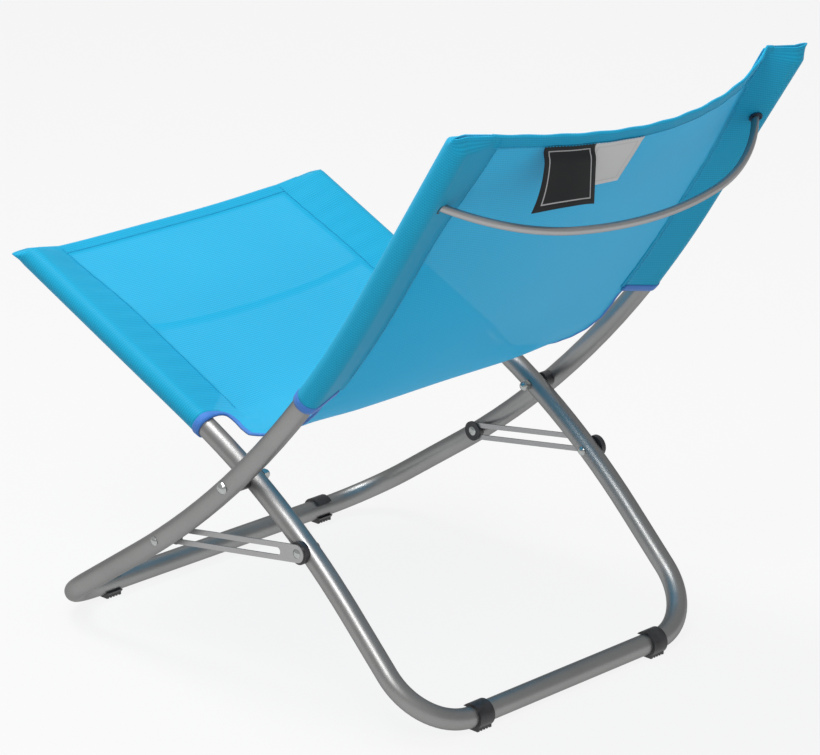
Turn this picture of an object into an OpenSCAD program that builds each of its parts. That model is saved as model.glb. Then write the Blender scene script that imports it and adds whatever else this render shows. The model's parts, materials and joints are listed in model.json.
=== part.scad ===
// Low folding beach chair: two crossing U-shaped tube frames carry one mesh sling.
// The sitter faces -Y. Left is the sitter's left, +X. Z = 0 is the floor.

/* [Frame tubes] */
// Outside diameter of the frame tubes
tube_d = 22; // [20:0.5:24]
// Wall thickness of the frame tubes
tube_wall = 1.2; // [1:0.1:1.6]
// Half width of the back frame, to the middle of its tube
back_half_w = 239; // [225:1:255]
// Clear gap between the two frames' side tubes
side_gap = 10; // [10:0.5:12]
// Corner radius beside the floor bars, to the middle of the tube
corner_r = 70; // [55:1:90]
// Height of the middle of the floor bars
bar_z = 14; // [14:0.5:16]
// Height of the main pivots
pivot_z = 222; // [215:1:230]
// Distance of the main pivots behind the origin
pivot_y = 0.3; // [0:0.1:6]

/* [Back frame] */
// Rise of the front legs in degrees
back_leg_rise = 34; // [33:0.5:35]
// Radius of the long bend
back_bend_r = 1210; // [1150:10:1300]
// Turn of the long bend below the pivots, in degrees
back_turn_below = 8.4; // [8:0.1:8.8]
// Turn of the long bend above the pivots, in degrees
back_turn_above = 14.6; // [14:0.1:15.2]
// Straight length above the long bend
back_top_len = 211; // [205:1:220]

/* [Seat frame] */
// Rise of the rear legs in degrees
seat_leg_rise = 44.5; // [43:0.5:46]
// Radius of the long bend
seat_bend_r = 774; // [750:2:820]
// Turn of the long bend below the pivots, in degrees
seat_turn_below = 13.1; // [12.8:0.1:13.6]
// Turn of the long bend above the pivots, in degrees
seat_turn_above = 6.9; // [6.8:0.1:7.6]
// Straight length in front of the long bend
seat_top_len = 278; // [274:1:280]

/* [Links] */
// Place of the slot pins along the back frame, below the pivots
slot_pin_at = 135; // [130:1:140]
// Place of the link rivets along the seat frame, below the pivots
link_rivet_at = 97; // [92:1:100]
// Width of the flat link
link_w = 19; // [17:0.5:21]
// Thickness of the flat link
link_t = 1.8; // [1.5:0.1:2]
// Width of the slot in the link
slot_w = 8; // [7:0.5:9]
// Solid length of the link past the rivet, before the slot starts
slot_start = 24; // [20:1:30]

/* [Spreader rods] */
// Diameter of the bowed rods
rod_d = 8; // [6:0.5:9]
// Place of the back rod along the back frame
back_rod_at = 445; // [430:1:455]
// Slope of the back rod at its ends, in degrees
back_rod_end_turn = 48; // [46:0.5:49]
// Place of the seat rod along the seat frame
seat_rod_at = 245; // [235:1:255]
// Slope of the seat rod at its ends, in degrees
seat_rod_end_turn = 23; // [22:0.5:24]

/* [Sling] */
// Thickness of the mesh
mesh_t = 1.6; // [1.2:0.2:2]
// Thickness of the fabric round a tube
sleeve_t = 1.4; // [1:0.1:1.6]
// Distance from the back tube's middle in to the sleeve's seam
back_seam = 39; // [36:1:42]
// Distance from the seat tube's middle in to the sleeve's seam
seat_seam = 49; // [46:1:52]
// Lower end of the back sleeves along the back frame
back_sleeve_from = 166; // [160:1:172]
// Top edge of the back along the back frame
back_edge_at = 531; // [529:1:535]
// Rear end of the seat sleeves along the seat frame
seat_sleeve_from = 85; // [80:1:90]
// Front edge of the seat along the seat frame
seat_edge_at = 382; // [380:1:386]
// Sag of the back between its seams
back_sag = 24; // [16:1:34]
// Height of the folded hems
hem_h = 15; // [12:1:18]
// Radius of the sling's bend between seat and back
sling_bend_r = 187; // [180:1:195]

/* [Fittings] */
// Distance of the front feet from the middle
front_foot_x = 158; // [145:1:162]
// Distance of the rear feet from the middle
rear_foot_x = 130; // [120:1:133]
// Length of a foot along its bar
foot_len = 20; // [16:1:24]
// Diameter of the main pivot bolts
bolt_d = 6; // [5:0.5:6]
// Diameter of the rivets and pins
rivet_d = 5; // [4:0.5:5.5]

/* [Hidden] */
$fn = 48;

tube_r = tube_d / 2;
seat_half_w = back_half_w - tube_d - side_gap;
gap_in = seat_half_w + tube_r;
gap_out = back_half_w - tube_r;
fit = 0.05;
skin = 0.1;
hairline = 0.02;
head_face = back_half_w + tube_r + skin;
link_x = gap_in + 4;
saddle = 2;
plug_t = 2;
sleeve_r = tube_r + sleeve_t;

// A frame is [half width, bend radius, leg rise, turn below the pivot, turn above it, straight
// above]. A negative radius bends away from the sitter. The seat frame is drawn facing back
// and then mirrored.
BACK = [back_half_w, back_bend_r, back_leg_rise, back_turn_below, back_turn_above, back_top_len];
SEAT = [seat_half_w, -seat_bend_r, seat_leg_rise, -seat_turn_below, -seat_turn_above,
    seat_top_len];

silver = [0.66, 0.67, 0.69];
zinc = [0.78, 0.78, 0.8];
black = [0.07, 0.07, 0.08];
turquoise = [0.2, 0.66, 0.86];
royal = [0.16, 0.34, 0.72];

// Length s runs along a side tube, 0 at the pivot, positive towards the sling.
function bend_low(f) = f[3] / 180 * PI * f[1];
function bend_high(f) = f[4] / 180 * PI * f[1];
function tube_end(f) = bend_high(f) + f[5];
function turned(f, s) = (min(max(s, -bend_low(f)), bend_high(f)) + bend_low(f)) / f[1] * 180 / PI;
function heading(f, s) = f[2] + turned(f, s);
function bend_centre(f) = [0, pivot_z] + f[1] * [-sin(f[2] + f[3]), cos(f[2] + f[3])];
function on_bend(f, a) = bend_centre(f) + f[1] * [sin(a), -cos(a)];
function past_bend(f, s) = max(s - bend_high(f), 0) + min(s + bend_low(f), 0);
function station(f, s) =
    on_bend(f, heading(f, s)) + past_bend(f, s) * [cos(heading(f, s)), sin(heading(f, s))];
function leg_len(f) = round(100 * (on_bend(f, f[2]).y - bar_z) / sin(f[2])) / 100;
function floor_at(f) = -bend_low(f) - leg_len(f);

slot_pin = station(BACK, -slot_pin_at);
link_rivet = [-station(SEAT, -link_rivet_at).x, station(SEAT, -link_rivet_at).y];
link_len = norm(slot_pin - link_rivet);
link_angle = atan2(slot_pin.y - link_rivet.y, slot_pin.x - link_rivet.x);
bend_from = 125;
bend_turn = 73;

// Whole chair, with its pivots pivot_y behind the origin.
module place() {
    translate([0, pivot_y, 0]) children();
}

module place_seat() {
    place() mirror([0, 1, 0]) children();
}

module both_sides() {
    for (m = [0, 1]) mirror([m, 0, 0]) children();
}

module on_right() {
    mirror([1, 0, 0]) children();
}

// Puts children at length s of a frame's side: +Y runs along the tube, +Z faces the sitter.
module at_station(f, s) {
    p = station(f, s);
    translate([0, p.x, p.y]) rotate([heading(f, s), 0, 0]) children();
}

// Start of the long bend: +Y runs up the tube, and the bend turns about Z = f[1].
module at_bend(f) {
    p = on_bend(f, f[2]);
    translate([0, p.x, p.y]) rotate([f[2], 0, 0]) children();
}

// Upper end of the long bend.
module past_turn(f) {
    at_bend(f) translate([0, 0, f[1]]) rotate([f[3] + f[4], 0, 0]) translate([0, 0, -f[1]])
        children();
}

// The part of the long bend between two turns from its start. The section's X is across
// the chair and its Y points away from the sitter.
module bend(f, t0, t1) {
    r = abs(f[1]);
    at_bend(f) mirror([0, 0, f[1] < 0 ? 1 : 0]) translate([0, 0, r]) rotate([90, 0, 90])
        rotate([0, 0, abs(t0) - 90]) rotate_extrude(angle = abs(t1 - t0))
            translate([r, 0]) flip_section(f[1] > 0) children();
}

module flip_section(outward) {
    if (outward) mirror([1, -1, 0]) children();
    else rotate([0, 0, 90]) children();
}

// A straight stretch along +Y, from y0 to y1.
module straight(y0, y1) {
    translate([0, y0, 0]) rotate([-90, 0, 0]) linear_extrude(y1 - y0) children();
}

// Everything above length s of a side, up to top past the long bend. A hairline parts the bend
// from the straight, so that each is a clean solid of its own.
module sweep_up(f, s, top) {
    if (s < bend_high(f)) bend(f, turned(f, s), f[3] + f[4]) children();
    past_turn(f) straight(max(s - bend_high(f), 0) + hairline, top) children();
}

module tube_section() {
    difference() {
        circle(tube_r);
        circle(tube_r - tube_wall);
    }
}

// One bent U tube: floor bar, two corners, two long sides.
module u_tube(f) {
    bar_half = f[0] - corner_r;
    both_sides() {
        translate([f[0], 0, 0]) {
            sweep_up(f, -bend_low(f), f[5]) tube_section();
            at_bend(f) straight(corner_r - leg_len(f), 0) tube_section();
        }
        at_bend(f) translate([bar_half, corner_r - leg_len(f), 0]) rotate([0, 0, -90])
            rotate_extrude(angle = 90) translate([corner_r, 0]) tube_section();
    }
    at_bend(f) translate([-bar_half, -leg_len(f), 0]) rotate([0, 90, 0])
        linear_extrude(2 * bar_half) tube_section();
}

// A cylinder along X, from x0 to x1, through the point p of the side view.
module cross_pin(p, x0, x1, d) {
    translate([x0, p.x, p.y]) rotate([0, 90, 0]) cylinder(h = x1 - x0, d = d);
}

// A bowed rod is [middle radius, middle turn, shoulder radius, end turn]: a shallow arc in
// the middle that runs on smoothly into a tighter one at each end.
BACK_ROD = [500, 11.5, 246, back_rod_end_turn];
SEAT_ROD = [900, 5.9, 352, seat_rod_end_turn];
function rod_bow(rod) = rod[0] * (1 - cos(rod[1])) + rod[2] * (cos(rod[1]) - cos(rod[3]));

module rod_arc(r, turn, d = rod_d) {
    rotate([0, 0, 90]) rotate_extrude(angle = turn) translate([r, 0]) circle(d = d);
}

// A rod lies in X and depth, and its bow points away from the sitter.
module rod_plane(rod) {
    rotate([-90, 0, 0]) translate([0, rod_bow(rod) - rod[0], 0]) both_sides() children();
}

module rod_shoulder(rod, turn, d) {
    rotate([0, 0, rod[1]]) translate([0, rod[0] - rod[2], 0]) rod_arc(rod[2], turn, d);
}

module bowed_rod(rod) {
    rod_plane(rod) {
        rod_arc(rod[0], rod[1]);
        rod_shoulder(rod, rod[3] - rod[1], rod_d);
    }
}

// The curved holes that the rod's ends need in the tubes and the sleeves.
module rod_holes(rod, d) {
    rod_plane(rod) rod_shoulder(rod, rod[3] - rod[1] + 1, d);
}

module back_frame() {
    color(silver) place() difference() {
        u_tube(BACK);
        both_sides() {
            cross_pin([0, pivot_z], gap_out - 1, back_half_w + tube_r + 1, bolt_d + 2 * fit);
            cross_pin(slot_pin, gap_out - 1, back_half_w + tube_r + 1, rivet_d + 2 * fit);
        }
        at_station(BACK, back_rod_at) rod_holes(BACK_ROD, rod_d + 2 * fit);
    }
}

module seat_frame() {
    color(silver) place_seat() difference() {
        u_tube(SEAT);
        both_sides() {
            cross_pin([0, pivot_z], gap_in - tube_d - 1, gap_in + 1, bolt_d + 2 * fit);
            cross_pin([-link_rivet.x, link_rivet.y], gap_in - tube_d - 1, gap_in + 1,
                rivet_d + 2 * fit);
        }
        at_station(SEAT, seat_rod_at) rod_holes(SEAT_ROD, rod_d + 2 * fit);
    }
}

// A push-in plug: a plate over the tube's end and a stub inside it.
module tube_plugs(f) {
    stub = 12;
    both_sides() translate([f[0], 0, 0]) at_station(f, tube_end(f)) rotate([-90, 0, 0]) {
        cylinder(h = plug_t, r = tube_r);
        translate([0, 0, -stub]) cylinder(h = stub, r = tube_r - tube_wall - fit);
    }
}

module back_tube_plugs() {
    color(black) place() tube_plugs(BACK);
}

module seat_tube_plugs() {
    color(black) place_seat() tube_plugs(SEAT);
}

module back_spreader_rod() {
    color(silver) place() at_station(BACK, back_rod_at) bowed_rod(BACK_ROD);
}

module seat_spreader_rod() {
    color(silver) place_seat() at_station(SEAT, seat_rod_at) bowed_rod(SEAT_ROD);
}

// A domed head on the outside, its flat face at x.
module dome_head(p, x, d, h) {
    r = (d * d / 4 + h * h) / (2 * h);
    translate([x, p.x, p.y]) intersection() {
        translate([h - r, 0, 0]) rotate([0, 90, 0]) sphere(r);
        translate([0, -d, -d]) cube([h + 1, 2 * d, 2 * d]);
    }
}

module pivot_bolts() {
    color(zinc) place() both_sides() {
        cross_pin([0, pivot_z], gap_in - tube_d - 6, head_face, bolt_d);
        dome_head([0, pivot_z], head_face, 13, 4.5);
    }
}

// A hexagonal nut with a closed dome, on the inner side of the seat tube.
module pivot_nuts() {
    face = gap_in - tube_d - skin;
    color(zinc) place() both_sides() difference() {
        union() {
            translate([face, 0, pivot_z]) rotate([0, -90, 0]) cylinder(h = 5, d = 12, $fn = 6);
            translate([face - 5, 0, pivot_z]) sphere(5);
        }
        cross_pin([0, pivot_z], gap_in - tube_d - 6, face + 1, bolt_d);
    }
}

// A round spacer from x0 to x1 whose outer end is cut to sit on a tube at x = tube_x.
module saddle_spacer(p, heading, tube_x, x0, x1, d, hole) {
    difference() {
        cross_pin(p, x0, x1, d);
        cross_pin(p, x0 - 1, x1 + 1, hole + 2 * fit);
        translate([tube_x, p.x, p.y]) rotate([heading - 90, 0, 0])
            cylinder(h = 2 * d, r = tube_r + fit, center = true);
    }
}

module pivot_spacers() {
    color(black) place() both_sides()
        saddle_spacer([0, pivot_z], heading(BACK, 0), back_half_w, gap_in + skin,
            gap_out + saddle, 17, bolt_d);
}

// The link from its rivet hole to past the slot's far end, flat in the side view.
module link() {
    rail = (link_w - slot_w) / 2;
    place() translate([link_x, link_rivet.x, link_rivet.y]) rotate([90, 0, 90])
        rotate([0, 0, link_angle]) linear_extrude(link_t) difference() {
            slot_shape(0, link_len + slot_w / 2 + rail - link_w / 2, link_w);
            slot_shape(slot_start + slot_w / 2, link_len, slot_w);
            circle(d = rivet_d + 2 * fit);
        }
}

module slot_shape(from, to, w) {
    translate([from, 0]) circle(d = w);
    translate([to, 0]) circle(d = w);
    translate([from, -w / 2]) square([to - from, w]);
}

module link_left() {
    color(silver) link();
}

module link_right() {
    color(silver) on_right() link();
}

module link_rivets() {
    outer = link_x + link_t + skin;
    inner = gap_in - tube_d - skin;
    color(zinc) place() both_sides() {
        cross_pin(link_rivet, inner, outer, rivet_d);
        dome_head(link_rivet, outer, 10, 2);
        mirror([1, 0, 0]) dome_head(link_rivet, -inner, 10, 2.5);
    }
}

module link_spacers() {
    color(black) place() both_sides()
        saddle_spacer(link_rivet, 180 - heading(SEAT, -link_rivet_at), seat_half_w,
            gap_in - saddle, link_x - skin, 24, rivet_d);
}

slot_inner = link_x - skin;
slot_outer = link_x + link_t + 2 * skin;
washer_t = 2;

// The outer head and shank, and the inner head that the link's slot runs behind.
module slot_pins() {
    color(zinc) place() both_sides() {
        cross_pin(slot_pin, slot_outer, head_face, rivet_d);
        dome_head(slot_pin, head_face, 10, 2.5);
        mirror([1, 0, 0]) dome_head(slot_pin, -(slot_inner - washer_t), 10, 1.4);
    }
}

module slot_spacers() {
    color(black) place() both_sides()
        saddle_spacer(slot_pin, heading(BACK, -slot_pin_at), back_half_w, slot_outer,
            gap_out + saddle, 17, rivet_d);
}

module slot_washers() {
    color(black) place() both_sides() cross_pin(slot_pin, slot_inner - washer_t, slot_inner, 22);
}

// A clip round a floor bar, open towards the middle of the chair, with a ribbed pad.
module foot(f, x) {
    clip_r = tube_r + 3;
    p = station(f, floor_at(f));
    pad_w = 18;
    rib = 2;
    difference() {
        union() {
            cross_pin(p, x - foot_len / 2, x + foot_len / 2, 2 * clip_r);
            translate([x - foot_len / 2, p.x - pad_w / 2, 0]) cube([foot_len, pad_w, bar_z]);
        }
        cross_pin(p, x - foot_len, x + foot_len, tube_d + 2 * fit);
        translate([x - foot_len, p.x, p.y - 7]) cube([2 * foot_len, 2 * clip_r, 16]);
        for (i = [-1.5 : 1.5]) translate([x + i * 2 * rib - rib / 2, p.x - pad_w, -1])
            cube([rib, 2 * pad_w, 2]);
        translate([x - foot_len, p.x - clip_r, -clip_r])
            cube([2 * foot_len, 2 * clip_r, clip_r]);
    }
}

module front_foot_left() {
    color(black) place() foot(BACK, front_foot_x);
}

module front_foot_right() {
    color(black) on_right() place() foot(BACK, front_foot_x);
}

module rear_foot_left() {
    color(black) place_seat() foot(SEAT, rear_foot_x);
}

module rear_foot_right() {
    color(black) on_right() place_seat() foot(SEAT, rear_foot_x);
}

// The outline of a sleeve: round over the tube, tapering in to its seam.
module sleeve_outline(f, seam, grow = 0) {
    root = 8;
    translate([f[0], 0]) {
        circle(sleeve_r + grow);
        polygon([[-root, -9 - grow], [-root, 9 + grow], [-seam, mesh_t / 2 + grow],
            [-seam, -mesh_t / 2 - grow]]);
    }
}

module sleeve_section(f, seam, grow = 0) {
    difference() {
        sleeve_outline(f, seam, grow);
        translate([f[0], 0]) circle(tube_r + skin);
    }
}

// A sleeve with a closed tip that reaches past the tube's end to the hem's edge.
module sleeve(f, seam, from, edge) {
    tip = f[5] + plug_t + skin;
    sweep_up(f, from, tip) sleeve_section(f, seam);
    past_turn(f) straight(tip, edge - bend_high(f)) sleeve_outline(f, seam);
}

module back_sleeve() {
    place() difference() {
        sleeve(BACK, back_seam, back_sleeve_from, back_edge_at);
        at_station(BACK, back_rod_at) rod_holes(BACK_ROD, rod_d + 1);
    }
}

module seat_sleeve() {
    place_seat() difference() {
        sleeve(SEAT, seat_seam, seat_sleeve_from, seat_edge_at);
        at_station(SEAT, seat_rod_at) rod_holes(SEAT_ROD, rod_d + 1);
    }
}

module back_sleeve_left() {
    color(turquoise) back_sleeve();
}

module back_sleeve_right() {
    color(turquoise) on_right() back_sleeve();
}

module seat_sleeve_left() {
    color(turquoise) seat_sleeve();
}

module seat_sleeve_right() {
    color(turquoise) on_right() seat_sleeve();
}

// A band of cloth that sags away from the sitter between x = -half and half.
module sag_section(half, sag, t) {
    r = (half * half + sag * sag) / (2 * sag);
    intersection() {
        translate([0, sag - r]) difference() {
            circle(r + t / 2, $fn = 180);
            circle(r - t / 2, $fn = 180);
        }
        translate([-half, -2 * t]) square([2 * half, sag + 4 * t]);
    }
}

back_cloth_half = back_half_w - back_seam - skin;
seat_cloth_half = seat_half_w - seat_seam - skin;
back_hem_from = back_edge_at - hem_h - bend_high(BACK);
seat_hem_from = seat_edge_at - hem_h - bend_high(SEAT);
seat_panel_from = bend_from - bend_high(SEAT);

module back_panel() {
    color(turquoise) place() sweep_up(BACK, back_sleeve_from, back_hem_from)
        sag_section(back_cloth_half, back_sag, mesh_t);
}

module back_hem() {
    color(turquoise) place() past_turn(BACK) straight(back_hem_from, back_hem_from + hem_h)
        sag_section(back_cloth_half, back_sag, 2 * mesh_t);
}

module seat_panel() {
    color(turquoise) place_seat() past_turn(SEAT) straight(seat_panel_from, seat_hem_from)
        translate([-seat_cloth_half, -mesh_t / 2]) square([2 * seat_cloth_half, mesh_t]);
}

module seat_hem() {
    color(turquoise) place_seat() past_turn(SEAT) straight(seat_hem_from, seat_hem_from + hem_h)
        translate([-seat_cloth_half, -mesh_t]) square([2 * seat_cloth_half, 2 * mesh_t]);
}

// A strip of the bend between seat and back, from x0 to x1, t thick.
module bend_strip(x0, x1, t) {
    p = station(SEAT, bend_from);
    a = heading(SEAT, bend_from);
    place() translate([0, -p.x, p.y]) rotate([-a, 0, 0]) translate([0, 1, sling_bend_r])
        rotate([90, 0, 90]) rotate([0, 0, -90]) rotate_extrude(angle = bend_turn)
            translate([sling_bend_r - t / 2, x0]) square([t, x1 - x0]);
}

tape_w = 6;
bend_half = seat_cloth_half - 6;

module sling_bend() {
    color(turquoise) bend_strip(tape_w - bend_half, bend_half - tape_w, mesh_t);
}

module notch_bindings() {
    color(royal) both_sides() bend_strip(bend_half - tape_w, bend_half, mesh_t + 1);
}

// Tape round the open end of each sleeve.
module back_bindings() {
    color(royal) place() both_sides()
        bend(BACK, turned(BACK, back_sleeve_from - tape_w), turned(BACK, back_sleeve_from))
            sleeve_section(BACK, back_seam, 0.5);
}

module seat_bindings() {
    color(royal) place_seat() both_sides()
        bend(SEAT, turned(SEAT, seat_sleeve_from - tape_w), turned(SEAT, seat_sleeve_from))
            sleeve_section(SEAT, seat_seam, 0.5);
}

// A sewn label on the rear of the back, hanging from the hem, from x0 to x1.
module label(x0, x1, h) {
    place() past_turn(BACK) straight(back_hem_from - h, back_hem_from) intersection() {
        translate([0, mesh_t / 2 + 0.8]) sag_section(back_cloth_half, back_sag, 0.6);
        translate([x0, 0]) square([x1 - x0, 2 * back_sag]);
    }
}

module size_label() {
    color(black) label(66.3, 152, 70);
}

module care_label() {
    color("whitesmoke") label(0, 66, 66);
}

back_frame();
seat_frame();
back_tube_plugs();
seat_tube_plugs();
back_spreader_rod();
seat_spreader_rod();
pivot_bolts();
pivot_spacers();
pivot_nuts();
link_left();
link_right();
link_rivets();
link_spacers();
slot_pins();
slot_spacers();
slot_washers();
front_foot_left();
front_foot_right();
rear_foot_left();
rear_foot_right();
back_panel();
seat_panel();
sling_bend();
back_sleeve_left();
back_sleeve_right();
seat_sleeve_left();
seat_sleeve_right();
back_hem();
seat_hem();
back_bindings();
seat_bindings();
notch_bindings();
size_label();
care_label();
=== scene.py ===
import json
import math

import bpy
import numpy as np
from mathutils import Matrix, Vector


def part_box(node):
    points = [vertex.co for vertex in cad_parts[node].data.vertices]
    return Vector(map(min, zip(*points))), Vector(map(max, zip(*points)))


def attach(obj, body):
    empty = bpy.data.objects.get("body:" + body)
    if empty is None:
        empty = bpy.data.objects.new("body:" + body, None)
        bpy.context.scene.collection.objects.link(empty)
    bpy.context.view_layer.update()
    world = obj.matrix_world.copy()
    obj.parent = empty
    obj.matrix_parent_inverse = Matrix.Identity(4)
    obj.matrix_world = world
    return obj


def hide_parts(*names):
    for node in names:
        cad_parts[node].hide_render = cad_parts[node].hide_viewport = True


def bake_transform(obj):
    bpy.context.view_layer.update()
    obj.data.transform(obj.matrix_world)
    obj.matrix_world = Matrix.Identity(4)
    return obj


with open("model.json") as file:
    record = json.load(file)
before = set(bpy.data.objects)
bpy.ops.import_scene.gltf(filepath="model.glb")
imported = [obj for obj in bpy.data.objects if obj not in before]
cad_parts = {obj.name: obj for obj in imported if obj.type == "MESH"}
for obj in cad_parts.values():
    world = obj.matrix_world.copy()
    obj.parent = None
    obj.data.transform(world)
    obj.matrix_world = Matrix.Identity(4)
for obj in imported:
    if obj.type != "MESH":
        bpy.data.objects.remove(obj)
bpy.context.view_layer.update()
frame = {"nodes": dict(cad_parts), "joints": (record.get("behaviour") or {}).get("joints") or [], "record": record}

# ---------------------------------------------------------------- the frame's side tubes
PIVOT = frame["joints"][0]["pos_m"]
HANDS = ((1, "left"), (-1, "right"))
TUBE_R = 0.011
CLOTH_T = 0.0012
CLOTH_GAP = 0.0001
SLEEVE_R = TUBE_R + CLOTH_GAP + CLOTH_T / 2


class Side:
    """The line of one side tube. Length s runs up it, 0 at the pivot. facing is 1 for the back
    frame and -1 for the seat frame, which is the same kind of line seen in a mirror. The bend has
    the slope rise at its lower end, and turns by below and above on each side of the pivot, all in
    degrees. Over it comes a straight stretch. tip_half is the half width at the sleeves' tips."""

    def __init__(self, node, facing, radius, rise, below, above, straight, tip_half):
        self.half_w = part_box(node)[1].x - TUBE_R
        self.tip_half = tip_half
        self.facing = facing
        self.radius = radius * facing
        self.rise = math.radians(rise)
        self.low = math.radians(below) * radius
        self.high = math.radians(above) * radius
        self.end = self.high + straight
        turn = self.rise + self.low / self.radius
        self.centre = (-self.radius * math.sin(turn), self.radius * math.cos(turn))

    def heading(self, s):
        return self.rise + (np.clip(s, -self.low, self.high) + self.low) / self.radius

    def at(self, s, x, depth=0.0):
        """The point at length s and cross place x, depth towards the sitter."""
        s, x, depth = np.broadcast_arrays(*(np.asarray(v, float) for v in (s, x, depth)))
        a = self.heading(s)
        past = s - np.clip(s, -self.low, self.high)
        y = self.centre[0] + self.radius * np.sin(a) + past * np.cos(a) - depth * np.sin(a)
        z = self.centre[1] - self.radius * np.cos(a) + past * np.sin(a) + depth * np.cos(a)
        return np.stack([x, PIVOT[1] + self.facing * y, PIVOT[2] + z], -1)


BACK = Side("back_frame", 1, radius=1.210, rise=34, below=8.4, above=14.6, straight=0.211,
    tip_half=0.2530)
SEAT = Side("seat_frame", -1, radius=0.774, rise=44.5, below=13.1, above=6.9, straight=0.278,
    tip_half=0.2250)

# Cross places of the seams, and the lengths on each tube between which its sleeve runs.
BACK_SEAM = BACK.half_w - 0.039
SEAT_SEAM = SEAT.half_w - 0.049
BACK_MOUTH, BACK_EDGE = 0.166, 0.533
SEAT_MOUTH, SEAT_EDGE = 0.085, 0.384
HEM = 0.015


# ---------------------------------------------------------------- mesh helpers
def smooth(lo, hi, v):
    """0 below lo, 1 above hi, and an eased step between them."""
    t = np.clip((np.asarray(v, float) - lo) / (hi - lo), 0, 1)
    return t * t * (3 - 2 * t)


def unit(vectors):
    return vectors / np.linalg.norm(vectors, axis=-1, keepdims=True)


def run_along(points):
    """Length run along a path up to each of its points."""
    return np.concatenate([[0], np.cumsum(np.linalg.norm(np.diff(points, axis=0), axis=1))])


def link_mesh(name, points, faces, uvs=None, thick=0.0):
    """A smooth-shaded mesh object. uvs holds one pair of metres for each point."""
    data = bpy.data.meshes.new(name)
    data.from_pydata([tuple(p) for p in points], [], faces)
    if uvs is not None:
        layer = data.uv_layers.new(name="cloth").data
        corners = np.empty(len(data.loops), int)
        data.loops.foreach_get("vertex_index", corners)
        layer.foreach_set("uv", np.asarray(uvs, float)[corners].ravel())
    data.polygons.foreach_set("use_smooth", [True] * len(data.polygons))
    data.update()
    piece = bpy.data.objects.new(name, data)
    bpy.context.scene.collection.objects.link(piece)
    if thick:
        solid = piece.modifiers.new("thickness", "SOLIDIFY")
        solid.thickness = thick
        solid.offset = 0
    return piece


def grid_faces(rows, columns, start=0, flip=False):
    """Quads between the points of a grid whose first point has the index start."""
    faces = []
    for i in range(rows - 1):
        for j in range(columns - 1):
            a = start + i * columns + j
            quad = (a, a + 1, a + 1 + columns, a + columns)
            faces.append(quad[::-1] if flip else quad)
    return faces


def finish_piece(piece, material, body=None, replaces=()):
    """Gives a piece its material and slot, and the body it rides on. Without a body its transform is baked into
    its mesh."""
    piece.data.materials.append(material)
    if body:
        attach(piece, body)
    else:
        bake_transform(piece)
    if replaces:
        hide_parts(*replaces)
    return piece


# ---------------------------------------------------------------- the sling's lines
# Between these two points the sling bends from the seat tube's line to the back tube's.
# The bend under the sitter starts at BEND_FROM on the seat tube, turns by BEND_TURN degrees at the
# radius BEND_R, and joins the back at BEND_TO on the back tube.
BEND_R = 0.187
BEND_FROM, BEND_TO = 0.125, 0.190
BEND_TURN = 74
SMOOTHINGS = 300
STEP = 0.004


def centre_line():
    """Evenly spaced points of the sling's middle line in the side view, from the seat's front edge
    to the top of the back, and the run of each, its length along the line."""
    seat_s = np.arange(SEAT_EDGE, BEND_FROM, -0.002)
    seat = SEAT.at(seat_s, 0)[:, 1:]
    a = SEAT.heading(BEND_FROM)
    begin = SEAT.at(BEND_FROM, 0)[1:]
    centre = begin + BEND_R * np.array([math.sin(a), math.cos(a)])
    turns = np.radians(np.arange(0, BEND_TURN, 0.5))
    arc = centre + BEND_R * np.stack([np.sin(turns - a), -np.cos(turns - a)], -1)
    back_s = np.arange(BEND_TO, BACK_EDGE + 0.0001, 0.002)
    back = BACK.at(back_s, 0)[:, 1:]
    line = np.concatenate([seat, arc, back])
    for _ in range(SMOOTHINGS):
        line[1:-1] = 0.5 * line[1:-1] + 0.25 * (line[:-2] + line[2:])
    run = run_along(line)
    even = np.linspace(0, run[-1], int(run[-1] / STEP) + 1)
    return np.stack([np.interp(even, run, line[:, k]) for k in (0, 1)], -1), even


LINE, RUN = centre_line()
LENGTH = RUN[-1]
SLOPE = unit(np.gradient(LINE, axis=0))
# Runs at which the seat's sleeves stop and the back's start.
SEAT_STOP = SEAT_EDGE - SEAT_MOUTH
BACK_STOP = LENGTH - (BACK_EDGE - BACK_MOUTH)
# Half widths of the sheet between the sleeves.
SEAT_HALF, NOTCH_HALF, BEND_HALF, BACK_HALF = 0.188, 0.176, 0.198, 0.207
CORNER_R = 0.012
# How far the notches' edges are drawn up, and the middle sags at the top hem and at the front one.
NOTCH_LIFT = 0.003
TOP_SAG, SEAT_SAG = 0.0425, 0.003
# How far the top's corners hang back or stand forward, and the front hem dips.
TOP_SKEW, FRONT_DIP = 0.009, 0.0065
# The share of its height by which a sleeve closes at its tip.
TIP_SHUT = 0.86


def sample(table, run):
    """Values of LINE or SLOPE at a run."""
    return np.stack([np.interp(run, RUN, table[:, k]) for k in (0, 1)], -1)


def edge_line(run):
    """The side line that the sling's edges follow: the tubes where the sleeves are, and between
    them the middle line, drawn up a little."""
    run = np.asarray(run, float)
    mid = sample(LINE, run)
    seat = SEAT.at(SEAT_EDGE - np.minimum(run, SEAT_STOP), 0)[..., 1:]
    back = BACK.at(BACK_EDGE - (LENGTH - np.maximum(run, BACK_STOP)), 0)[..., 1:]
    from_seat = seat - sample(LINE, np.minimum(run, SEAT_STOP))
    from_back = back - sample(LINE, np.maximum(run, BACK_STOP))
    t = smooth(SEAT_STOP, BACK_STOP, run)[..., None]
    lift = np.sin(math.pi * np.clip((run - SEAT_STOP) / (BACK_STOP - SEAT_STOP), 0, 1)) ** 2
    line = mid + (1 - t) * from_seat + t * from_back
    line[..., 1] += NOTCH_LIFT * lift
    return line


def seam_half(run):
    """Cross place of the sleeves' seams."""
    t = smooth(SEAT_STOP + 0.01, BACK_STOP - 0.005, run)
    return SEAT_SEAM + (BACK_SEAM - SEAT_SEAM) * t


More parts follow.
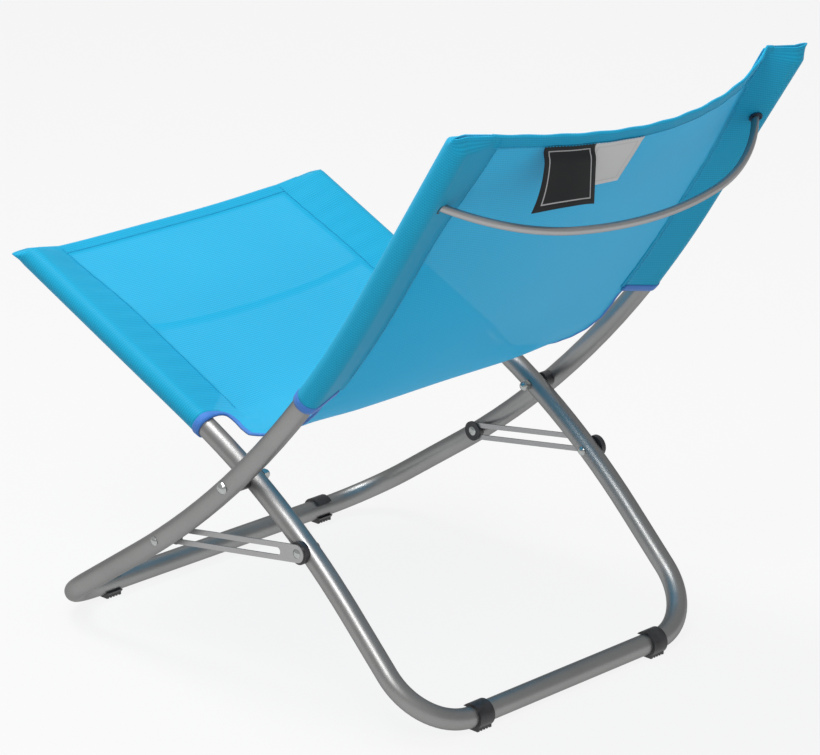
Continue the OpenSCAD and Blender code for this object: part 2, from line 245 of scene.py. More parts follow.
def sheet_half(run):
    """Half width of the sheet between the sleeves, with a round corner at each sleeve's mouth."""
    run = np.asarray(run, float)
    past = run - SEAT_STOP
    half = NOTCH_HALF + (BEND_HALF - NOTCH_HALF) * smooth(0.012, 0.075, past)
    half = half + (BACK_HALF - BEND_HALF) * smooth(BACK_STOP - 0.10, BACK_STOP, run)
    corner = np.clip(past / CORNER_R, 0, 1)
    rounded = (SEAT_HALF - NOTCH_HALF) * (1 - np.sqrt(1 - (1 - corner) ** 2))
    return np.where(past > 0, half + rounded, SEAT_HALF)


def seam_dip(run, across):
    """How far the two free edges hang away from the sitter. across runs from -1 at the right seam
    to 1 at the left one. The top hangs back on the left and stands forward on the right."""
    top = TOP_SKEW * across**3 * smooth(LENGTH - 0.16, LENGTH, run)
    return top + FRONT_DIP * (1 + 0.3 * across) * (1 - smooth(0, 0.14, run))


def flap_rise(side, seam):
    """Slope of the cloth from a seam up to the top of the tube."""
    return math.tan(math.asin(SLEEVE_R / (side.half_w - seam)))


SEAT_RISE = flap_rise(SEAT, SEAT_SEAM)
BACK_RISE = flap_rise(BACK, BACK_SEAM)
# The dip of a free edge fades from the seam out to this much short of the tube's middle.
FLAP_SHORT = 0.003
SEAT_REACH = SEAT.half_w - SEAT_SEAM - FLAP_SHORT
BACK_REACH = BACK.half_w - BACK_SEAM - FLAP_SHORT


def sheet_point(run, x, lift=0.0):
    """A point of the sling between its sleeves, at a run along it and a cross place x."""
    run, x, lift = np.broadcast_arrays(*(np.asarray(v, float) for v in (run, x, lift)))
    seam = seam_half(run)
    across = np.clip(abs(x) / seam, 0, 1)
    up = np.stack([-sample(SLOPE, run)[..., 1], sample(SLOPE, run)[..., 0]], -1)
    tied = smooth(0.55, 1.0, across)[..., None]
    line = sample(LINE, run) * (1 - tied) + edge_line(run) * tied
    top = np.clip((run - BACK_STOP + 0.05) / (LENGTH - BACK_STOP + 0.05), 0, 1)
    sag = TOP_SAG * top**1.25 + SEAT_SAG * (1 - smooth(0.2, SEAT_STOP, run))
    rise = SEAT_RISE * (1 - smooth(SEAT_STOP, SEAT_STOP + 0.03, run))
    rise = rise + BACK_RISE * smooth(BACK_STOP - 0.03, BACK_STOP, run)
    rise = rise * (1 - TIP_SHUT * (1 - smooth(0.002, 0.012, np.minimum(run, LENGTH - run))))
    flap = np.maximum(abs(x) - seam, 0)
    dip = seam_dip(run, np.clip(x / seam, -1, 1))
    dip = dip * (1 - flap / np.where(run < SEAT_STOP, SEAT_REACH, BACK_REACH))
    depth = lift - sag * (1 - across**2) + rise * flap - dip + wrinkles(run, x, seam)
    flat = line + depth[..., None] * up
    return np.stack([x, flat[..., 0], flat[..., 1]], -1)


def wrinkles(run, x, seam):
    """Faint tension waves, and small puckers along the seams and hems."""
    inside = np.maximum(seam - abs(x), 0)
    pucker = np.sin(run * 2 * math.pi / 0.023 + np.sign(x) * 1.3) * np.exp(-inside / 0.010)
    near_top = np.exp(-np.maximum(LENGTH - run, 0) / 0.02)
    hem = np.sin(x * 2 * math.pi / 0.041 + 0.6) * near_top
    wave = np.sin(x * 21 + run * 17) * np.sin(run * 13 - x * 9 + 1.1)
    return 0.00030 * pucker + 0.0005 * hem + 0.0007 * wave * np.clip(inside / 0.05, 0, 1)


def sleeve_section(side, seam, allowance, shut=0.0, gather=0.0, dip=0.0, count=30):
    """Cross places and depths of a sleeve, from the sheet's edge over the tube, round it, and back
    under to its seam and past it by the allowance. shut is 0 round the tube and 1 at the closed
    tip. gather draws the under side out towards the tube, and dip lowers its seam."""
    phi = math.asin(SLEEVE_R / (side.half_w - seam))
    turn = np.linspace(math.pi / 2 + phi, -math.pi / 2 - phi, count)
    round_x = side.half_w + SLEEVE_R * np.cos(turn)
    round_d = SLEEVE_R * np.sin(turn)
    under = np.linspace(1, 0, 9)[1:]
    root = seam + gather
    under_x = root + (round_x[-1] - root) * under
    tail_x = root - allowance * np.array([0.5, 1.0])
    x = np.concatenate([round_x, under_x, tail_x])
    depth = np.concatenate([round_d, round_d[-1] * under, [0, 0]]) * (1 - TIP_SHUT * shut)
    depth -= np.concatenate([0 * round_x, (0.0012 + dip) * (1 - under), [0.0014 + dip, 0.0016 + dip]])
    stretch = (side.tip_half - side.half_w) / SLEEVE_R
    beyond = np.maximum(x - side.half_w, 0)
    x = x + beyond * (stretch - 1) * shut
    return x, depth


SEAT_ROWS, BEND_ROWS, BACK_ROWS = 75, 55, 92
ROWS = np.concatenate([
    np.linspace(0, SEAT_STOP, SEAT_ROWS + 1),
    np.linspace(SEAT_STOP, BACK_STOP, BEND_ROWS + 1)[1:],
    np.linspace(BACK_STOP, LENGTH, BACK_ROWS + 1)[1:],
])
# On the sitter's right the back sleeve starts this many rows further up.
RIGHT_LATE = 7
BACK_START = {1: BACK_STOP, -1: BACK_STOP + RIGHT_LATE * (LENGTH - BACK_STOP) / BACK_ROWS}
# Columns of the sheet, as shares of the way to the seams and from there to the edges.
INNER = np.linspace(-1, 1, 65)
FLAP = np.linspace(0, 1, 6)[1:]
COLUMNS = len(INNER) + 2 * len(FLAP)
# How far the under side of a sleeve runs on past its seam.
SEAT_ALLOWANCE, BACK_ALLOWANCE = 0.004, 0.007
# A sleeve's mouth stands off its tube by this share, which fades over the length after it.
MOUTH_FLARE, FLARE_LENGTH = 0.06, 0.006


def mouth_gather(side, past_mouth):
    """The seat sleeves are drawn out on their under side beside the mouth."""
    return 0.038 * (1 - smooth(0.0, 0.035, past_mouth)) if side is SEAT else 0.0


def sheet_columns(run):
    """Cross places of the sheet's points in one row."""
    seam, half = seam_half(run), sheet_half(run)
    outer = seam + (half - seam) * FLAP
    return np.concatenate([-outer[::-1], seam * INNER, outer])


def sleeve_place(side, sign, run):
    """Length on the tube at a run of the sling, its distance past the mouth, and the tip's place."""
    if side is SEAT:
        return SEAT_EDGE - run, SEAT_STOP - run, SEAT_EDGE
    return BACK_EDGE - (LENGTH - run), run - BACK_START[sign], BACK_EDGE


def hem_fold():
    """Places past the sheet's end and depths of a hem, folded under and laid back on the sheet."""
    turned = [(0.0009, -0.0005), (0.0009, -0.0015), (0.0, -0.0021)]
    return turned + [(-back, -0.0021) for back in np.linspace(0.002, HEM, 6)]


def make_sheet(hem):
    """Points, flat places and faces of the sheet with a hem at both ends."""
    rows = [(-past, lift, 0.0) for past, lift in reversed(hem)]
    rows += [(0.0, 0.0, run) for run in ROWS]
    rows += [(past, lift, LENGTH) for past, lift in hem]
    points, uvs = [], []
    for past, lift, run in rows:
        x = sheet_columns(run)
        inside = np.clip(run + past, 0, LENGTH)
        row = sheet_point(inside, x, lift)
        over = run + past - inside
        row[:, 1:] += over * sample(SLOPE, inside)
        points.extend(row)
        uvs.extend(np.stack([x, np.full_like(x, run + past)], -1))
    return points, uvs, grid_faces(len(rows), COLUMNS)


def add_sleeve(points, uvs, faces, side, sign, first):
    """Adds one sleeve and joins it to the sheet's edge, whose rows start at the index first."""
    seam, allowance = (SEAT_SEAM, SEAT_ALLOWANCE) if side is SEAT else (BACK_SEAM, BACK_ALLOWANCE)
    keep = ROWS <= SEAT_STOP + 1e-9 if side is SEAT else ROWS >= BACK_START[sign] - 1e-9
    base = first + int(np.argmax(keep))
    edge = COLUMNS - 1 if sign > 0 else 0
    start = len(points)
    for run in ROWS[keep]:
        s, past_mouth, tip = sleeve_place(side, sign, run)
        shut = float(smooth(side.end + 0.001, tip - 0.002, s))
        gather = mouth_gather(side, past_mouth)
        x, d = sleeve_section(side, seam, allowance, shut, gather, seam_dip(run, sign))
        flare = 1 + MOUTH_FLARE * math.exp(-past_mouth / FLARE_LENGTH)
        width = len(x)
        reach = np.cumsum(np.hypot(np.diff(x, prepend=x[0]), np.diff(d, prepend=d[0])))
        points.extend(side.at(s, sign * x, d * flare))
        uvs.extend(np.stack([sign * (x[0] + reach), np.full(width, run)], -1))
    count = int(keep.sum())
    faces += grid_faces(count, width, start, flip=sign < 0)
    for k in range(count - 1):
        a = (base + k) * COLUMNS + edge
        b = start + k * width
        quad = (a, b, b + width, a + COLUMNS)
        faces.append(quad[::-1] if sign < 0 else quad)


def make_sling():
    """The whole sling as one cloth: the sheet, its folded hems, and the four sleeves."""
    hem = hem_fold()
    points, uvs, faces = make_sheet(hem)
    for sign in (-1, 1):
        for side in (SEAT, BACK):
            add_sleeve(points, uvs, faces, side, sign, len(hem))
    return link_mesh("sling", points, faces, uvs, CLOTH_T)


# ---------------------------------------------------------------- edge tape, stitches, labels
# The binding tape's section: places in from the cloth's edge, and up from its middle.
TAPE = [(0.0068, 0.0010), (0.0034, 0.0014), (0.0, 0.0015), (-0.0011, 0.0011), (-0.0016, 0.0),
    (-0.0011, -0.0011), (0.0, -0.0015), (0.0034, -0.0014), (0.0068, -0.0010)]
# Its width round the mouths and along the notch, as shares of that section's.
MOUTH_WIDTH, NOTCH_WIDTH = 1.2, 0.45
# On the flat the tape's upper side lies this far from its under side.
UPPER_SHIFT = 0.02


def sweep(name, path, normals, widths, profile, flip=1):
    """A closed profile of (inward, up) pairs swept along a path that lies on cloth. Each of the
    widths scales the inward places at one point of the path."""
    along = unit(np.gradient(path, axis=0))
    inward = unit(np.cross(normals, along) * flip)
    up = np.cross(along, inward) * flip
    points, uvs = [], []
    n = len(profile)
    for p, i, u, r, w in zip(path, inward, up, run_along(path), widths):
        for a, b in profile:
            points.append(p + a * (w if a > 0 else 1) * i + b * u)
            uvs.append((a + UPPER_SHIFT * (b > 0), r))
    faces = []
    for j in range(len(path) - 1):
        for k in range(n):
            a, b = j * n + k, j * n + (k + 1) % n
            faces.append((a, b, b + n, a + n))
    faces.append(tuple(range(n))[::-1])
    faces.append(tuple(range((len(path) - 1) * n, len(path) * n)))
    return link_mesh(name, points, faces, uvs)


def resample(path, columns, step):
    """Even steps along a path, with each column of values that goes with it."""
    run = run_along(path)
    even = np.linspace(0, run[-1], int(run[-1] / step) + 1)
    both = np.column_stack([path, columns])
    both = np.stack([np.interp(even, run, column) for column in both.T], -1)
    return both[:, :3], both[:, 3:]


def mouth_loop(side, seam, sign, s):
    """Points round a sleeve's mouth, and normals square to the loop and away from the tube."""
    x, d = sleeve_section(side, seam, 0.0, gather=mouth_gather(side, 0.0))
    loop = side.at(s, sign * x, d * (1 + MOUTH_FLARE))
    away = loop - side.at(s, sign * side.half_w)
    along = unit(np.gradient(loop, axis=0))
    away -= (away * along).sum(1)[:, None] * along
    return loop, unit(away)


def cloth_up(run):
    """Normals of the sling's middle line, on the sitter's side."""
    slope = sample(SLOPE, run)
    return np.stack([0 * run, -slope[:, 1], slope[:, 0]], -1)


def notch_edge(sign):
    """The tape's path on one side: round the seat sleeve's mouth, along the notch, and round
    the back sleeve's mouth, with its normals and widths."""
    seat_loop, seat_normals = mouth_loop(SEAT, SEAT_SEAM, sign, SEAT_MOUTH)
    run = np.linspace(SEAT_STOP, BACK_START[sign], 90)
    edge = sheet_point(run, sign * sheet_half(run))
    at_mouth = BACK_EDGE - (LENGTH - BACK_START[sign])
    back_loop, back_normals = mouth_loop(BACK, BACK_SEAM, sign, at_mouth)
    parts = (
        (seat_loop[::-1], seat_normals[::-1], MOUTH_WIDTH),
        (edge, cloth_up(run), NOTCH_WIDTH),
        (back_loop, back_normals, MOUTH_WIDTH),
    )
    path = np.concatenate([points for points, _, _ in parts])
    normals = np.concatenate([ups for _, ups, _ in parts])
    widths = np.concatenate([np.full(len(points), width) for points, _, width in parts])
    columns = np.column_stack([normals, widths])
    for _ in range(4):
        path[1:-1] = 0.5 * path[1:-1] + 0.25 * (path[:-2] + path[2:])
        columns[1:-1] = 0.5 * columns[1:-1] + 0.25 * (columns[:-2] + columns[2:])
    path, columns = resample(path, columns, 0.003)
    return path, columns[:, :3], columns[:, 3]


def stitches(name, path, normals, pitch=0.0038, length=0.0027, width=0.00042, lift=0.0007,
        dive=0.0005, sides=6):
    """A run of thread bits on a path. Each has a round middle at the height lift, and dives by the
    given depth to a point at both ends."""
    path, normals = resample(np.asarray(path), np.asarray(normals), pitch)
    points, faces = [], []
    for a, b, n in zip(path[:-1], path[1:], normals):
        along = unit(b - a)
        across = np.cross(n, along)
        middle = (a + b) / 2
        start = len(points)
        points.append(middle - along * length / 2 + n * (lift - dive))
        for t in (-0.3, 0.3):
            for k in range(sides):
                turn = 2 * math.pi * k / sides
                points.append(middle + along * length * t
                    + n * (lift + width * math.sin(turn)) + across * width * math.cos(turn))
        points.append(middle + along * length / 2 + n * (lift - dive))
        first, second = start + 1, start + 1 + sides
        for k in range(sides):
            m = (k + 1) % sides
            faces.append((start, first + m, first + k))
            faces.append((first + k, first + m, second + m, second + k))
            faces.append((second + k, second + m, second + sides))
    return link_mesh(name, points, faces, [(0, 0)] * len(points))


def stitch_row(name, run, x, lift, body):
    """A row of stitches on the sling. A negative lift puts it on the side away from the sitter."""
    run, x = np.broadcast_arrays(np.asarray(run, float), np.asarray(x, float))
    up = cloth_up(run) * math.copysign(1, lift)
    row = stitches(name, sheet_point(run, x, lift), up)
    return finish_piece(row, THREAD, body)


def label_sheet(name, x0, x1, drop, hang, thick=0.0005):
    """A label sewn under the top hem at the rear, from x0 to x1. hang is 0 where it lies on the
    cloth and 1 where it hangs straight down."""
    columns, rows = 22, 20
    run = LENGTH - HEM + 0.002
    behind = -0.0036
    points, uvs = [], []
    for i in range(rows):
        t = i / (rows - 1)
        for j in range(columns):
            c = j / (columns - 1)
            x = x0 + (x1 - x0) * c
            top = sheet_point(run, x, behind)
            lying = sheet_point(run - drop * t, x, behind - 0.0015 * t)
            plumb = top + np.array([0, 0.004 * t, -drop * t])
            free = hang * smooth(0.0, 0.25, t)
            p = lying * (1 - free) + plumb * free
            flare = hang * t**3 * c**2
            wave = hang * t * math.sin(5.0 * c)
            p = p + np.array([0.022 * flare, 0.004 * flare + 0.002 * wave, 0.0015 * wave])
            points.append(p)
            uvs.append((x - x0, drop * t))
    return link_mesh(name, points, grid_faces(rows, columns), uvs, thick)


def make_label(slot, node, x0, x1, drop, hang, ground, border):
    """One sewn label: its cloth, its material, and the CAD label that it stands for."""
    label = label_sheet(f"{node}_cloth", x0, x1, drop, hang)
    material = label_material(slot, ground, border, (x1 - x0, drop))
    return finish_piece(label, material, "back_body", [node])


# A ring of thread round a rod: its radius across the sleeve, its stretch along it, its thickness
# and the number of thread turns that show on it.
RING_R, RING_STRETCH, RING_THICK, RING_TURNS = 0.0056, 1.15, 0.0011, 12


def eyelet(name, side, s, seam, span, turn, sign):
    """A sewn ring on a sleeve's under side, where a bowed rod comes out. The rod leaves the cross
    place span at the length s of the tube, and heads in and down at the angle turn."""
    phi = math.asin(SLEEVE_R / (side.half_w - seam))
    c, n = math.cos(turn), math.sin(turn)
    t = (span - seam) * math.tan(phi) / (n + c * math.tan(phi))
    x, d = span - c * t, -n * t
    hub = side.at(s, sign * x, d)
    out = unit(side.at(s, sign * (x - math.sin(phi)), d - math.cos(phi)) - hub)
    along = unit(side.at(s + 0.01, sign * x, d) - hub)
    across = np.cross(out, along) * RING_STRETCH
    points, faces = [], []
    big, small = 36, 10
    turns = [2 * math.pi * i / big for i in range(big)]
    rays = [along * math.cos(a) + across * math.sin(a) for a in turns]
    for a, ray in zip(turns, rays):
        thread = 1 + 0.10 * math.cos(a * RING_TURNS)
        for k in range(small):
            b = 2 * math.pi * k / small
            points.append(hub + ray * (RING_R + RING_THICK * thread * math.cos(b))
                + out * (0.0008 + 0.0010 * thread * math.sin(b)))
    for i in range(big):
        for k in range(small):
            a, b = i * small, ((i + 1) % big) * small
            m = (k + 1) % small
            faces.append((a + k, a + m, b + m, b + k))
    # The disc inside the ring, in the dark thread, is painted shade: it stands for the shaded opening round the
    # rod where it goes into the sleeve.
    hole_shade_disc = len(points)
    points.append(hub + out * 0.0007)
    for i, ray in enumerate(rays):
        points.append(hub + ray * RING_R + out * 0.0009)
        faces.append((hole_shade_disc, hole_shade_disc + 1 + i, hole_shade_disc + 1 + (i + 1) % big))
    return link_mesh(name, points, faces, [(0, 0)] * len(points))


# ---------------------------------------------------------------- materials
def shader(name, colour, roughness, **sockets):
    """A new node material. Returns it with its node tree, its Principled shader and a helper
    that adds a node, sets its values and links its inputs."""
    material = bpy.data.materials.new(name)
    material.use_nodes = True
    tree = material.node_tree
    surface = tree.nodes["Principled BSDF"]
    surface.inputs["Base Color"].default_value = (*colour, 1)
    surface.inputs["Roughness"].default_value = roughness
    for key, value in sockets.items():
        surface.inputs[key.replace("_", " ")].default_value = value

    def add(kind, inputs=(), **values):
        node = tree.nodes.new("ShaderNode" + kind)
        for key, value in values.items():
            setattr(node, key, value)
        for socket, value in dict(inputs).items():
            target = node.inputs[socket]
            if isinstance(value, bpy.types.NodeSocket):
                tree.links.new(value, target)
            else:
                target.default_value = value
        return node

    return material, tree, surface, add


def math_node(add, operation, a, b=0.0):
    return add("Math", {0: a, 1: b}, operation=operation).outputs[0]


def ramp(add, factor, stops):
    """A colour ramp with one stop for each pair of place and colour."""
    node = add("ValToRGB", {0: factor})
    elements = node.color_ramp.elements
    while len(elements) < len(stops):
        elements.new(0.5)
    for element, (place, colour) in zip(elements, stops):
        element.position = place
        element.color = (*colour, 1)
    return node.outputs[0]


def bump(add, height, distance, strength):
    return add("Bump", {"Height": height, "Distance": distance, "Strength": strength}).outputs[0]


def noise(add, scale, detail=2.0):
    """Noise in the object's own space, from 0 to 1."""
    place = add("TexCoord").outputs["Object"]
    return add("TexNoise", {"Scale": scale, "Detail": detail, "Vector": place}).outputs["Fac"]


def cell_wave(add, value, pitch, shift=0.0):
    """A smooth wave from 0 to 1 with the given pitch in metres. shift moves it by that angle."""
    turn = math_node(add, "MULTIPLY", value, 2 * math.pi / pitch)
    turn = math_node(add, "ADD", turn, shift)
    wave = math_node(add, "SINE", turn)
    return math_node(add, "ADD", math_node(add, "MULTIPLY", wave, 0.5), 0.5)


# Spacing of the mesh's cords along the sling and of its finer threads across it.
CORD_PITCH, THREAD_PITCH = 0.0028, 0.0026


def mesh_material():
    """Coated mesh: cords across the sling with finer threads along it, a little see-through."""
    material, tree, surface, add = shader("sling_mesh", (0.02, 0.38, 0.74), 0.5,
        Specular_IOR_Level=0.10, Sheen_Weight=0.05, Sheen_Roughness=0.5)
    uv = add("UVMap", uv_map="cloth").outputs[0]
    parts = add("SeparateXYZ", {0: uv})
    across, along = parts.outputs[0], parts.outputs[1]
    row = cell_wave(add, along, CORD_PITCH)
    row_number = math_node(add, "FLOOR", math_node(add, "DIVIDE", along, CORD_PITCH))
    column = cell_wave(add, across, THREAD_PITCH, math_node(add, "MULTIPLY", row_number, math.pi))
    cord = math_node(add, "MULTIPLY", row, 0.65)
    weave = math_node(add, "ADD", cord, math_node(add, "MULTIPLY", column, 0.35))
    tint = math_node(add, "ADD", math_node(add, "MULTIPLY", weave, 0.8),
        math_node(add, "MULTIPLY", noise(add, 9.0, 4.0), 0.25))
    colour = ramp(add, tint, [
        (0.10, (0.014, 0.365, 0.590)), (0.55, (0.017, 0.425, 0.665)), (0.95, (0.024, 0.475, 0.725)),
    ])
    tree.links.new(colour, surface.inputs["Base Color"])
    rough = math_node(add, "ADD", 0.42, math_node(add, "MULTIPLY", weave, 0.2))
    tree.links.new(rough, surface.inputs["Roughness"])
    tree.links.new(bump(add, weave, 0.00025, 0.20), surface.inputs["Normal"])
    glow = add("BsdfTranslucent", {"Color": colour})
    clear = add("BsdfTransparent")
    cloth = add("MixShader", {0: 0.30, 1: surface.outputs[0], 2: glow.outputs[0]})
    holes = math_node(add, "ADD", 0.10, math_node(add, "MULTIPLY",
        math_node(add, "SUBTRACT", 1.0, weave), 0.10))
    mixed = add("MixShader", {0: holes, 1: cloth.outputs[0], 2: clear.outputs[0]})
    tree.links.new(mixed.outputs[0], tree.nodes["Material Output"].inputs["Surface"])
    return material


def tape_material():
    """Royal blue binding: fine cross ribs and a soft sheen."""
    material, tree, surface, add = shader("binding_tape", (0.03, 0.16, 0.60), 0.55,
        Specular_IOR_Level=0.25, Sheen_Weight=0.08, Sheen_Roughness=0.4)
    parts = add("SeparateXYZ", {0: add("UVMap", uv_map="cloth").outputs[0]})
    rib = cell_wave(add, parts.outputs[1], 0.0011)
    thread = cell_wave(add, parts.outputs[0], 0.0014)
    weave = math_node(add, "ADD", math_node(add, "MULTIPLY", rib, 0.7),
        math_node(add, "MULTIPLY", thread, 0.3))
    colour = ramp(add, math_node(add, "ADD", math_node(add, "MULTIPLY", weave, 0.7),
        math_node(add, "MULTIPLY", noise(add, 60.0), 0.3)),
        [(0.15, (0.028, 0.125, 0.40)), (0.85, (0.056, 0.195, 0.56))])
    tree.links.new(colour, surface.inputs["Base Color"])
    tree.links.new(bump(add, weave, 0.00025, 0.8), surface.inputs["Normal"])
    return material


def thread_material(name, colour):
    """Twisted sewing thread."""
    material, tree, surface, add = shader(name, colour, 0.5, Specular_IOR_Level=0.2)
    twist = noise(add, 2600.0, 1.0)
    dark = tuple(0.8 * c for c in colour)
    tree.links.new(ramp(add, twist, [(0.3, dark), (0.7, colour)]), surface.inputs["Base Color"])
    tree.links.new(bump(add, twist, 0.0001, 0.6), surface.inputs["Normal"])
    return material


def metal_material(name, dark, light, roughness, grain=900.0):
    """Silver paint or plating: fine metallic grain, faint cloudiness and rubbed spots."""
    material, tree, surface, add = shader(name, light, roughness, Metallic=0.9,
        Specular_Tint=(0.45, 0.45, 0.45, 1))
    cloud = noise(add, 14.0, 3.0)
    flake = noise(add, grain, 2.0)
    mix = math_node(add, "ADD", math_node(add, "MULTIPLY", cloud, 0.5),
        math_node(add, "MULTIPLY", flake, 0.5))
    tree.links.new(ramp(add, mix, [(0.3, dark), (0.7, light)]), surface.inputs["Base Color"])
    rub = math_node(add, "MULTIPLY", noise(add, 55.0, 5.0), 0.16)
    tree.links.new(math_node(add, "ADD", rub, roughness - 0.08), surface.inputs["Roughness"])
    tree.links.new(bump(add, flake, 0.00003, 0.10), surface.inputs["Normal"])
    return material


def plastic_material():
    """Black moulded plastic: fine spark texture and pale scuffs."""
    material, tree, surface, add = shader("black_plastic", (0.014, 0.014, 0.016), 0.42)
    grain = noise(add, 1400.0, 3.0)
    scuff = noise(add, 70.0, 6.0)
    tree.links.new(ramp(add, scuff, [(0.35, (0.010, 0.010, 0.012)), (0.75, (0.035, 0.035, 0.038))]),
        surface.inputs["Base Color"])
    tree.links.new(math_node(add, "ADD", 0.32, math_node(add, "MULTIPLY", grain, 0.25)),
        surface.inputs["Roughness"])
    tree.links.new(bump(add, grain, 0.00006, 0.5), surface.inputs["Normal"])
    return material


def label_material(name, ground, border, size):
    """Woven label: satin ground and a plain border line."""
    material, tree, surface, add = shader(name, ground, 0.6, Specular_IOR_Level=0.25)
    parts = add("SeparateXYZ", {0: add("UVMap", uv_map="cloth").outputs[0]})
    near = []
    for socket, length in zip(parts.outputs[:2], size):
        from_middle = math_node(add, "ABSOLUTE", math_node(add, "SUBTRACT", socket, length / 2))
        near.append(math_node(add, "SUBTRACT", length / 2, from_middle))
    rim = math_node(add, "MINIMUM", near[0], near[1])
    line = math_node(add, "COMPARE", rim, 0.006)
    line.node.inputs[2].default_value = 0.0006
    satin = math_node(add, "MULTIPLY", cell_wave(add, parts.outputs[0], 0.0007),
        cell_wave(add, parts.outputs[1], 0.0016))
    deep = tuple(0.75 * c for c in ground)
    cloth = ramp(add, satin, [(0.1, deep), (0.9, ground)])
    mixed = add("Mix", {0: line, 6: cloth, 7: (*border, 1)}, data_type="RGBA")
    tree.links.new(mixed.outputs[2], surface.inputs["Base Color"])
    tree.links.new(bump(add, satin, 0.0001, 0.6), surface.inputs["Normal"])
    return material


MESH = mesh_material()
TAPE_BLUE = tape_material()
THREAD = thread_material("thread_turquoise", (0.014, 0.35, 0.60))
DARK_THREAD = thread_material("thread_dark", (0.01, 0.03, 0.06))
PAINT = metal_material("tube_paint", (0.27, 0.27, 0.267), (0.33, 0.33, 0.327), 0.40)
ROD = metal_material("rod_paint", (0.36, 0.36, 0.363), (0.43, 0.43, 0.434), 0.36)
ZINC = metal_material("zinc_plate", (0.36, 0.38, 0.37), (0.52, 0.54, 0.53), 0.24, 300.0)
PLASTIC = plastic_material()

# The CAD nodes that show keep their shape and get these in place of their plain slots.
FINISHES = {"tube_paint": PAINT, "rod_paint": ROD, "zinc": ZINC, "black_plastic": PLASTIC}
for row in frame["record"]["subparts"]:
    if row["material_slot"] in FINISHES:
        data = frame["nodes"][row["node"]].data
        data.materials.clear()
        data.materials.append(FINISHES[row["material_slot"]])

# ---------------------------------------------------------------- pieces
sling = make_sling()
CLOTH_NODES = ["back_panel", "seat_panel", "sling_bend", "back_hem", "seat_hem"]
CLOTH_NODES += [f"{part}_sleeve_{hand}" for part in ("back", "seat") for hand in ("left", "right")]
finish_piece(sling, MESH, replaces=CLOTH_NODES)

# The two tapes take the place of the CAD bindings, which are hidden.
for sign, hand in HANDS:
    tape = sweep(f"binding_{hand}", *notch_edge(sign), TAPE, flip=-sign)
    finish_piece(tape, TAPE_BLUE)
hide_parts("back_bindings", "seat_bindings", "notch_bindings")

size_label = make_label("label_black", "size_label", 0.084, 0.144, drop=0.061, hang=0.85,
    ground=(0.010, 0.011, 0.012), border=(0.30, 0.30, 0.31))
care_label = make_label("label_white", "care_label", 0.022, 0.084, drop=0.062, hang=0.10,
    ground=(0.62, 0.62, 0.62), border=(0.40, 0.40, 0.40))

# Where each rod comes out: length on the tube, seam, cross place of its bend, and its heading.
BACK_ROD = (0.445, BACK_SEAM, 0.2334, math.radians(48))
SEAT_ROD = (0.245, SEAT_SEAM, 0.1939, math.radians(23))
for sign, hand in HANDS:
    for side, part, rod in ((BACK, "back", BACK_ROD), (SEAT, "seat", SEAT_ROD)):
        ring = eyelet(f"{part}_eyelet_{hand}", side, *rod, sign)
        finish_piece(ring, DARK_THREAD, f"{part}_body")

# Heights of the threads: on one layer of cloth, and below the seam's or the hem's turned layer.
FACE = CLOTH_T / 2 + 0.0002
UNDER_SEAM = -FACE - 0.0016
UNDER_HEM = -FACE - 0.0022
SEAM_SHIFT = 0.003
threads = []
seat_run = np.linspace(0.004, SEAT_STOP - 0.004, 120)
back_run = np.linspace(BACK_STOP + 0.020, LENGTH - 0.003, 140)
for sign, hand in HANDS:
    seat_x, back_x = sign * SEAT_SEAM, sign * BACK_SEAM
    rear_x = back_x - sign * SEAM_SHIFT
    threads += [
        stitch_row(f"seat_seam_{hand}", seat_run, seat_x, FACE, "seat_body"),
        stitch_row(f"back_seam_front_{hand}", back_run, back_x, FACE, "back_body"),
        stitch_row(f"back_seam_rear_{hand}", back_run, rear_x, UNDER_SEAM, "back_body"),
    ]
top_run, front_run = LENGTH - HEM + 0.002, HEM - 0.002
top_x = np.linspace(-BACK_SEAM, BACK_SEAM, 160)
front_x = np.linspace(-SEAT_SEAM, SEAT_SEAM, 160)
for lift, face in ((FACE, "front"), (UNDER_HEM, "rear")):
    threads.append(stitch_row(f"top_hem_{face}", top_run, top_x, lift, "back_body"))
    threads.append(stitch_row(f"seat_hem_{face}", front_run, front_x, lift, "seat_body"))

# ---------------------------------------------------------------- studio
SUBJECT = (0, 0, 0.3)


def aim(thing, place, facing):
    """Puts a lamp or camera in place, looking along a direction."""
    thing.location = place
    thing.rotation_mode = "QUATERNION"
    thing.rotation_quaternion = facing.to_track_quat("-Z", "Y")
    bpy.context.scene.collection.objects.link(thing)


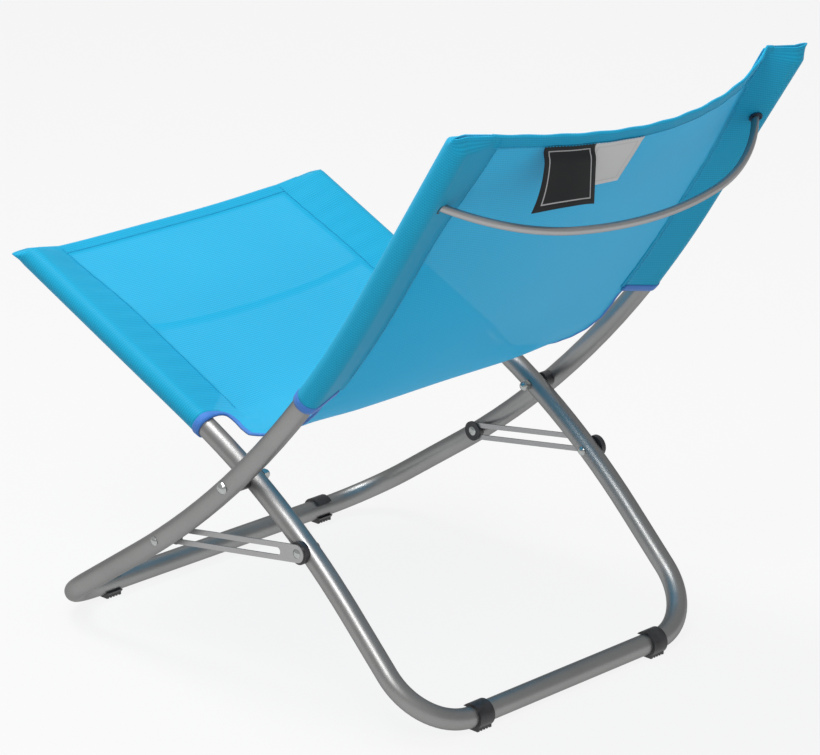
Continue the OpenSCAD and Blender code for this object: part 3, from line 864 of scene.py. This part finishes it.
def area_light(name, place, size, power):
    """A rectangular lamp that faces the chair."""
    data = bpy.data.lights.new(name, "AREA")
    data.shape = "RECTANGLE"
    data.size, data.size_y = size
    data.energy = power
    aim(bpy.data.objects.new(name, data), place, Vector(SUBJECT) - Vector(place))


def make_floor():
    """A wide pale floor, mostly lit from within so that it stays even and takes soft shadows."""
    size = 40.0
    points = [(-size, -size, 0), (size, -size, 0), (size, size, 0), (-size, size, 0)]
    floor = link_mesh("floor", points, [(0, 1, 2, 3)], [(0, 0)] * 4)
    material, tree, surface, add = shader("studio_floor", (0.9, 0.9, 0.9), 0.9)
    glow = add("Emission", {"Color": (1, 1, 1, 1), "Strength": 0.925})
    mixed = add("MixShader", {0: 0.94, 1: surface.outputs[0], 2: glow.outputs[0]})
    tree.links.new(mixed.outputs[0], tree.nodes["Material Output"].inputs["Surface"])
    floor.data.materials.append(material)


def make_world():
    world = bpy.data.worlds.new("studio")
    world.use_nodes = True
    background = world.node_tree.nodes["Background"]
    background.inputs["Color"].default_value = (0.93, 0.93, 0.93, 1)
    background.inputs["Strength"].default_value = 0.45
    bpy.context.scene.world = world


def make_camera():
    """A long lens behind the sitter's left, a little above. It looks at a point over the pivots,
    moved a little to the right of the picture."""
    azimuth, elevation, distance = math.radians(134.69), math.radians(18.92), 4.0114
    above_pivot, aside = 0.0560, 0.01176
    back = Vector((math.sin(azimuth) * math.cos(elevation),
        -math.cos(azimuth) * math.cos(elevation), math.sin(elevation)))
    right = Vector((math.cos(azimuth), math.sin(azimuth), 0))
    target = right * aside + Vector((0, PIVOT[1], PIVOT[2] + above_pivot))
    data = bpy.data.cameras.new("camera")
    data.sensor_width = 36
    data.lens = 170.03
    data.clip_start, data.clip_end = 0.1, 200
    camera = bpy.data.objects.new("camera", data)
    aim(camera, target + back * distance, -back)
    bpy.context.scene.camera = camera


make_floor()
make_world()
bpy.context.scene.view_settings.view_transform = "Standard"
area_light("key", (0.3, -0.9, 3.0), (1.3, 1.3), 84)
area_light("rear", (1.75, 1.3, 2.7), (0.9, 1.6), 58)
make_camera()
